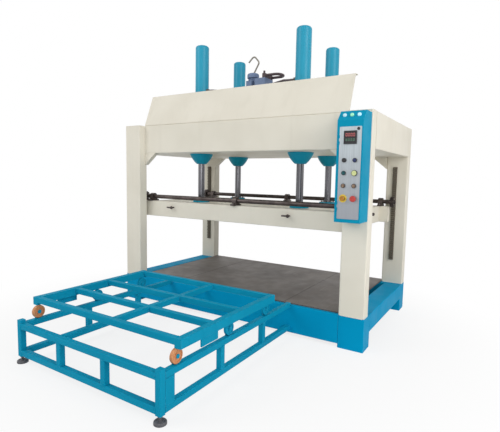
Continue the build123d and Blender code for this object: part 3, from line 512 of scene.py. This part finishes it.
# Pressure pipes: bent steel tube with a dark coating, from the valve block to the four barrels.
# Both ends of each pipe are held by a union nut, turned from the same hexagon bar as the bolts.
pipe_coat = enamel(
    "pipe_coating", colour=tint(104, 92, 94), shade=tint(80, 70, 73), worn=tint(136, 126, 122), gloss=0.42
)
dress("pressure_pipes", pipe_coat)
tank_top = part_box("valve_block")[0].z
ports_middle, ports_half, port_rise = -0.045, 0.035, 0.080
valve_half_depth, barrel_radius = 0.100, 0.083
pipe_end_rises = {"front_left": 0.050, "front_right": 0.062, "back_left": 0.172, "back_right": 0.110}
pipe_nuts = []
for corner, end_rise in pipe_end_rises.items():
    x, y, _ = middle_of(f"cylinder_{corner}")
    side = -1.0 if x < 0 else 1.0
    facing = -1.0 if y < motor_y else 1.0
    port = (ports_middle + side * ports_half, motor_y + facing * valve_half_depth, tank_top + port_rise)
    pipe_nuts.append(Matrix.Translation(port) @ Matrix.Rotation(-facing * math.pi / 2, 4, "X"))
    end = (x - side * barrel_radius, y, tank_top + end_rise)
    pipe_nuts.append(Matrix.Translation(end) @ Matrix.Rotation(-side * math.pi / 2, 4, "Y"))
union_nut = hexagon_bolt(across=0.044, height=0.024)
spread_out(union_nut, "pipe_nuts", pipe_nuts, "press_frame", bolt_steel)


# Tank fittings: bolts along the lid, a gauge on the back wall and a filler cap.
# The gauge is a steel frame round an amber window; the cap is moulded with finger grips.
def moulding(name, colour, shade, gloss=0.42):
    """Moulded plastic: slight flow marks in the tone, a fine grain and uneven gloss."""
    smoothest, dullest = gloss - 0.05, gloss + 0.08
    material, tree, shader, place = start_material(name)
    flow = spread(tree, noise(tree, place, scale=60.0), 0.3, 0.7)
    dull = spread(tree, noise(tree, place, scale=150.0), 0.2, 0.8, smoothest, dullest)
    surface(tree, shader, mixed(tree, flow, colour, shade), dull)
    bumped(tree, shader, noise(tree, place, scale=900.0, detail=2.0), strength=0.12, distance=0.0001)
    return material


black_moulding = moulding("black_moulding", tint(34, 33, 36), tint(24, 24, 27))
tank_low, tank_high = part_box("oil_tank")
lid_inset = 0.024
lid_bolt_run = tank_high.x - tank_low.x - 2 * lid_inset
lid_bolts = []
for y in (tank_low.y + lid_inset, tank_high.y - lid_inset):
    for share in (0.0, 1 / 3, 2 / 3, 1.0):
        x = tank_low.x + lid_inset + share * lid_bolt_run
        lid_bolts.append(Matrix.Translation((x, y, tank_high.z)))
lid_bolt = hexagon_bolt(across=0.014, height=0.009)
spread_out(lid_bolt, "tank_lid_bolts", lid_bolts, "press_frame", bolt_steel)

gauge_x, gauge_size, gauge_round = 0.16, (0.034, 0.020, 0.150), 0.003
gauge_frame, window_wall, window_sink = 0.006, 0.0005, 0.004
window_least_area = 0.001
amber_window = moulding("gauge_window", tint(198, 158, 84), tint(172, 130, 60), gloss=0.18)
gauge = block(gauge_size, Vector((gauge_x, tank_high.y, (tank_low.z + tank_high.z) / 2)))
bpy.ops.object.mode_set(mode="EDIT")
bpy.ops.mesh.bevel(offset=gauge_round, segments=2, affect="EDGES")
select_faces(gauge, lambda face: face.normal.y > 0.95)
bpy.ops.mesh.inset(thickness=gauge_frame, depth=0.0)
bpy.ops.mesh.inset(thickness=window_wall, depth=-window_sink)
settle(gauge, "tank_gauge")
fit(gauge, "press_frame", bolt_steel)
gauge.data.materials.append(amber_window)
frame_face = max(face.center.y for face in gauge.data.polygons)
for face in gauge.data.polygons:
    sunk = face.center.y < frame_face - window_sink / 2
    if face.normal.y > 0.95 and sunk and face.area > window_least_area:
        face.material_index = 1

cap_x, cap_setback, cap_radius, cap_height = 0.20, 0.09, 0.030, 0.026
grip_inset, grip_depth = 0.0008, 0.0016
bpy.ops.mesh.primitive_cylinder_add(
    vertices=32,
    radius=cap_radius,
    depth=cap_height,
    location=(cap_x, tank_high.y - cap_setback, tank_high.z + cap_height / 2),
)
filler_cap = bpy.context.object
select_faces(filler_cap, lambda face: abs(face.normal.z) < 0.5 and face.index % 2 == 0)
bpy.ops.mesh.inset(thickness=grip_inset, depth=-grip_depth, use_individual=True)
select_faces(filler_cap, lambda face: face.normal.z > 0.9)
for step_width, step_rise in ((0.003, 0.002), (0.008, 0.0), (0.001, 0.004)):
    bpy.ops.mesh.inset(thickness=step_width, depth=step_rise)
settle(filler_cap, "tank_filler_cap")
fit(filler_cap, "press_frame", black_moulding)

# Breather: a steel tube bent to a hook above the valve block, so that no dust falls in.
# It is sprayed a plain warm grey.
breather_grey = enamel(
    "breather_enamel", colour=tint(166, 160, 150), shade=tint(140, 134, 126), worn=tint(190, 186, 178)
)
dress("breather_tube", breather_grey)

# Control box: folded sheet on two brackets at the right front column.
# It has a second batch of the teal enamel, a little duller, which the in-feed stand shares.
dull_teal = enamel(
    "dull_teal_enamel",
    colour=tint(16, 150, 185),
    shade=tint(8, 133, 167),
    worn=tint(92, 168, 190),
    gloss=0.44,
    sheen=0.03,
)
dress("control_box", dull_teal)
dress("box_brackets", dull_teal)

# Control door: a silver sheet panel on painted hinges, brushed up and down, with its switches.
# Its silver is painted darker towards the bottom: painted shade, where less light falls on the lower part.
silver_dark, silver_pale, silver_painted_shade = tint(172, 181, 186), tint(194, 203, 207), tint(146, 148, 156)
painted_shade_share = 0.75
up_and_down = (1.0, 1.0, 0.01)
door_low, door_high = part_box("control_door")
brushed_panel, tree, shader, place = start_material("brushed_panel")
shader.inputs["Metallic"].default_value = 0.55
grain = noise(tree, place, scale=300.0, detail=2.0, stretch=up_and_down)
silver = mixed(tree, spread(tree, grain, 0.3, 0.7), silver_dark, silver_pale)
heights = tree.nodes.new("ShaderNodeSeparateXYZ")
tree.links.new(place, heights.inputs["Vector"])
# Painted shade: the silver darkens from the top of the door down to its bottom.
painted_shade = times(tree, spread(tree, heights.outputs["Z"], door_high.z, door_low.z), painted_shade_share)
panel_colour = mixed(tree, painted_shade, silver, silver_painted_shade)
surface(tree, shader, panel_colour, spread(tree, grain, 0.2, 0.8, 0.36, 0.50))
bumped(tree, shader, grain, strength=0.06, distance=0.0002)
dress("control_door", brushed_panel)
dress("door_hinges", dull_teal)

# Switches: moulded push buttons, a red mushroom button, an emergency stop on a yellow plate,
# a selector and two key switches. Each sits in a black bezel, clamped from behind the door.
for node in ("meter", "button_bezels", "black_button", "door_lock"):
    dress(node, black_moulding)
for node, name, colour, shade, gloss in (
    ("blue_button", "navy_moulding", tint(34, 48, 96), tint(24, 36, 78), 0.42),
    ("selector_switch", "teal_moulding", tint(32, 92, 98), tint(22, 74, 80), 0.42),
    ("start_button", "pale_green_moulding", tint(214, 222, 158), tint(200, 208, 140), 0.28),
    ("emergency_stop", "ochre_moulding", tint(186, 128, 40), tint(166, 108, 30), 0.42),
    ("stop_plate", "yellow_moulding", tint(230, 198, 74), tint(216, 183, 62), 0.42),
    ("stop_button", "red_moulding", tint(194, 66, 60), tint(178, 54, 50), 0.42),
):
    dress(node, moulding(name, colour, shade, gloss))
key_brass = moulding("key_brass", tint(150, 126, 106), tint(128, 106, 88), gloss=0.36)
dress("left_key_switch", key_brass)
dress("right_key_switch", key_brass)


# Meter: a black frame round a smoked window, with lit bar digits behind it.
# The upper row is red and the lower one green, each bar a small moulded light guide.
def lit(name, colour, shade):
    """A lit light guide: an uneven glow over moulded plastic."""
    material, tree, shader, place = start_material(name)
    glow = mixed(tree, spread(tree, noise(tree, place, scale=300.0), 0.3, 0.7), colour, shade)
    tree.links.new(glow, shader.inputs["Base Color"])
    tree.links.new(glow, shader.inputs["Emission Color"])
    shader.inputs["Emission Strength"].default_value = 0.4
    shader.inputs["Roughness"].default_value = 0.35
    return material


def digit_bars(height, width, thick, depth):
    """The six bars of a nought, standing in XZ round the origin, each with pointed ends."""
    bar_gap, tip_share = 1.5 * thick, 0.1
    quarter, half = height / 4, height / 2
    flat = Matrix.Identity(4)
    upright = Matrix.Rotation(math.pi / 2, 4, "Y")
    bars = []
    for x, z, turn, length in (
        (0.0, half, flat, width),
        (0.0, -half, flat, width),
        (-width / 2, quarter, upright, half),
        (width / 2, quarter, upright, half),
        (-width / 2, -quarter, upright, half),
        (width / 2, -quarter, upright, half),
    ):
        bar = block((length - bar_gap, depth, thick))
        for end in (-1.0, 1.0):
            tip = (end * thick / 2, 0.0, 0.0)
            select_faces(bar, lambda face: face.normal.x * end > 0.9)
            bpy.ops.mesh.extrude_region_move(TRANSFORM_OT_translate={"value": tip})
            bpy.ops.transform.resize(value=(1.0, 1.0, tip_share))
        settle(bar, "digit_bar", angle=20.0)
        bar.data.transform(Matrix.Translation((x, 0.0, z)) @ turn)
        bars.append(bar)
    for bar in bars:
        bar.select_set(True)
    bpy.context.view_layer.objects.active = bars[0]
    bpy.ops.object.join()
    return bpy.context.object


meter_x, _, meter_z = middle_of("meter")
meter_recess, digit_depth = 0.002, 0.0012
digit_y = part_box("meter")[0].y + meter_recess - digit_depth / 2
digit_count, digit_step = 4, 0.0215
digit_xs = [meter_x + digit_step * (step - (digit_count - 1) / 2) for step in range(digit_count)]
red_glow = lit("meter_upper_digits", tint(206, 108, 108), tint(188, 90, 92))
green_glow = lit("meter_lower_digits", tint(96, 140, 112), tint(82, 122, 98))
for name, height, width, thick, rise, slot, glow in (
    ("meter_upper_digits", 0.024, 0.012, 0.0036, 0.022, "red_plastic", red_glow),
    ("meter_lower_digits", 0.017, 0.009, 0.0028, -0.020, "pale_green_plastic", green_glow),
):
    digits = [Matrix.Translation((x, digit_y, meter_z + rise)) for x in digit_xs]
    nought = digit_bars(height, width, thick, digit_depth)
    spread_out(nought, name, digits, "control_door", glow)

# Lock: a moulded black barrel through the door, with a tongue that turns behind the box's edge.
# A narrow steel key slot is pressed into its face.
slot_size, slot_wall, slot_sink = (0.0022, 0.0008, 0.010), 0.0004, 0.0004
lock_rim_radius = 0.013
lock_low, lock_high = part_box("door_lock")
lock_x = (lock_low.x + lock_high.x) / 2
key_slot = block(slot_size, Vector((lock_x, lock_low.y, lock_high.z - lock_rim_radius)))
select_faces(key_slot, lambda face: face.normal.y < -0.9)
bpy.ops.mesh.inset(thickness=slot_wall, depth=-slot_sink)
settle(key_slot, "lock_key_slot")
fit(key_slot, "door_lock", bolt_steel)

# Signal lamps: three frosted domes along the bevel of the box, clear, green and pale blue.
# One moulding colours all three, with the tint changing from lamp to lamp along the row.
clear_lens, green_lens, blue_lens = tint(168, 206, 216), tint(128, 216, 170), tint(170, 226, 248)
frost, frost_share = tint(240, 250, 250), 0.22
green_from, blue_from = 0.36, 0.64
lamp_low, lamp_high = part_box("signal_lamps")
lamp_lens, tree, shader, place = start_material("lamp_lens")
parts = tree.nodes.new("ShaderNodeSeparateXYZ")
tree.links.new(place, parts.inputs["Vector"])
along = tree.nodes.new("ShaderNodeMapRange")
along.inputs["From Min"].default_value = lamp_low.x
along.inputs["From Max"].default_value = lamp_high.x
tree.links.new(parts.outputs["X"], along.inputs["Value"])
ramp = tree.nodes.new("ShaderNodeValToRGB")
ramp.color_ramp.interpolation = "CONSTANT"
ramp.color_ramp.elements[0].color = clear_lens
ramp.color_ramp.elements[1].position = green_from
ramp.color_ramp.elements[1].color = green_lens
ramp.color_ramp.elements.new(blue_from).color = blue_lens
tree.links.new(along.outputs["Result"], ramp.inputs["Fac"])
facets = spread(tree, noise(tree, place, scale=640.0, detail=2.0), 0.35, 0.7)
lens_tone = mixed(tree, times(tree, facets, frost_share), ramp.outputs["Color"], frost)
surface(tree, shader, lens_tone, spread(tree, noise(tree, place, scale=90.0), 0.2, 0.8, 0.12, 0.22))
tree.links.new(lens_tone, shader.inputs["Emission Color"])
shader.inputs["Emission Strength"].default_value = 0.25
bumped(tree, shader, facets, strength=0.15, distance=0.0003)
dress("signal_lamps", lamp_lens)

# In-feed stand: welded square tube in teal, with beads where uprights and rails meet.
# It stands in front of the bed on screwed levelling feet with rubber pads.
dress("stand_frame", dull_teal)
stand_low, stand_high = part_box("stand_frame")
tube, tube_weld = 0.050, 0.042
low_rail_top, high_rail_bottom, rail_top = 0.116, 0.300, 0.350
front_upright_x = 0.262
side_upright_shares = (0.37, 0.714)
side_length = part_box("base_frame")[0].y - stand_low.y
upright_turn = Matrix.Rotation(math.pi / 2, 4, "Y")
side_turn = Matrix.Rotation(math.pi / 2, 4, "Z")
stand_welds = []
for side, face in ((-1.0, stand_low.x), (1.0, stand_high.x)):
    for z in (low_rail_top - tube / 2, rail_top - tube / 2):
        for spot in ((face - side * tube, stand_low.y, z), (face, stand_low.y + tube, z)):
            stand_welds.append(Matrix.Translation(spot) @ upright_turn)
    for z in (low_rail_top, high_rail_bottom):
        stand_welds.append(Matrix.Translation((side * front_upright_x, stand_low.y, z)))
        for share in side_upright_shares:
            spot = (face, stand_low.y + share * side_length, z)
            stand_welds.append(Matrix.Translation(spot) @ side_turn)
spread_out(weld_bead(tube_weld), "stand_welds", stand_welds, "press_frame", dull_teal)
dress("levelling_feet", moulding("foot_rubber", tint(96, 96, 100), tint(80, 80, 84), gloss=0.62))

# Rollers on stub axles, held by upright plates on the rails.
# The front pair is cast orange nylon, the others are steel, painted with the stand.
dress("roller_stands", dull_teal)
orange_nylon = moulding("orange_nylon", tint(214, 148, 98), tint(196, 128, 80), gloss=0.50)
for row, coat in (("front", orange_nylon), ("middle", dull_teal), ("back", dull_teal)):
    for side in ("left", "right"):
        dress(f"roller_{row}_{side}", coat)

# Loading frame: a ladder of square tube in teal that carries the boards in on the rollers.
# Four rungs are welded between the side bars, with a bead across each joint on top.
dress("loading_frame", dull_teal)
loading_low, loading_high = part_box("loading_frame")
loading_length = loading_high.y - loading_low.y
side_bar, rung, rung_weld = 0.060, 0.050, 0.042
rung_starts = (0.0, 0.29 * loading_length, 0.58 * loading_length, loading_length - rung)
loading_welds = []
for start in rung_starts:
    middle = loading_low.y + start + rung / 2
    for side in (-1.0, 1.0):
        spot = (side * (loading_high.x - side_bar), middle, loading_high.z)
        loading_welds.append(Matrix.Translation(spot) @ side_turn)
spread_out(weld_bead(rung_weld), "loading_welds", loading_welds, "loading_frame", dull_teal)


# Studio: a pale floor that fades to white, soft front-left light and the photograph's camera.
# Only what a camera or a mirror sees turns white, so the floor still lights and shades evenly.
def seen_directly(tree):
    """1 on rays from the camera, from a glossy face or through glass, and 0 on the rest."""
    path = tree.nodes.new("ShaderNodeLightPath")
    total = path.outputs["Is Camera Ray"]
    for name in ("Is Glossy Ray", "Is Transmission Ray"):
        added = tree.nodes.new("ShaderNodeMath")
        added.operation = "MAXIMUM"
        tree.links.new(total, added.inputs[0])
        tree.links.new(path.outputs[name], added.inputs[1])
        total = added.outputs["Value"]
    return total


white = (1.0, 1.0, 1.0, 1.0)
floor_size, floor_sink = 60.0, 0.0005
fade_from, fade_to, fade_least = 1.6, 3.4, 0.80
bpy.ops.mesh.primitive_plane_add(size=floor_size, location=(0.0, 0.0, -floor_sink))
floor = bpy.context.object
floor.name = "studio_floor"
floor_paper, tree, shader, place = start_material("studio_floor")
shader.inputs["Base Color"].default_value = tint(240, 240, 240)
shader.inputs["Roughness"].default_value = 0.9
shader.inputs["Specular IOR Level"].default_value = 0.1
paper = tree.nodes.new("ShaderNodeEmission")
paper.inputs["Color"].default_value = white
paper.inputs["Strength"].default_value = 1.0
reach = tree.nodes.new("ShaderNodeVectorMath")
reach.operation = "LENGTH"
tree.links.new(place, reach.inputs[0])
fade = spread(tree, reach.outputs["Value"], fade_from, fade_to, fade_least, 1.0)
blend = tree.nodes.new("ShaderNodeMixShader")
tree.links.new(times(tree, fade, seen_directly(tree)), blend.inputs["Fac"])
tree.links.new(shader.outputs["BSDF"], blend.inputs[1])
tree.links.new(paper.outputs["Emission"], blend.inputs[2])
tree.links.new(blend.outputs["Shader"], tree.nodes["Material Output"].inputs["Surface"])
floor.data.materials.append(floor_paper)

sky_light, sky_white = 0.48, 1.0
world = bpy.data.worlds.new("studio")
bpy.context.scene.world = world
world.use_nodes = True
tree = world.node_tree
sky = tree.nodes["Background"]
sky.inputs["Color"].default_value = white
tree.links.new(spread(tree, seen_directly(tree), 0.0, 1.0, sky_light, sky_white), sky.inputs["Strength"])

for name, spot, aim, size, power in (
    ("key_light", (-4.4, -5.4, 6.0), (-0.4, 0.5, 1.2), (4.0, 4.0), 190.0),
    ("fill_light", (7.0, -2.0, 4.5), (0.5, 0.5, 1.2), (4.0, 4.0), 235.0),
    ("strip_light", (4.6, -7.6, 2.1), (0.0, 0.5, 1.6), (2.0, 4.0), 75.0),
):
    lamp = bpy.data.lights.new(name, "AREA")
    lamp.shape = "RECTANGLE"
    lamp.size, lamp.size_y = size
    lamp.energy = power
    light = bpy.data.objects.new(name, lamp)
    bpy.context.scene.collection.objects.link(light)
    light.location = spot
    light.rotation_euler = (Vector(aim) - Vector(spot)).to_track_quat("-Z", "Y").to_euler()

eye = Vector((2.6368, -3.6315, 1.62))
yaw, pitch, roll = 0.5568, 0.0945, 0.0184
level_turn = Matrix.Rotation(yaw, 4, "Z") @ Matrix.Rotation(math.pi / 2 - pitch, 4, "X")
lens = bpy.data.cameras.new("photo_camera")
lens.sensor_width = 36.0
lens.lens = 29.72
camera = bpy.data.objects.new("photo_camera", lens)
bpy.context.scene.collection.objects.link(camera)
camera.matrix_world = Matrix.Translation(eye) @ level_turn @ Matrix.Rotation(roll, 4, "Z")
bpy.context.scene.camera = camera
bpy.context.scene.view_settings.view_transform = "Standard"
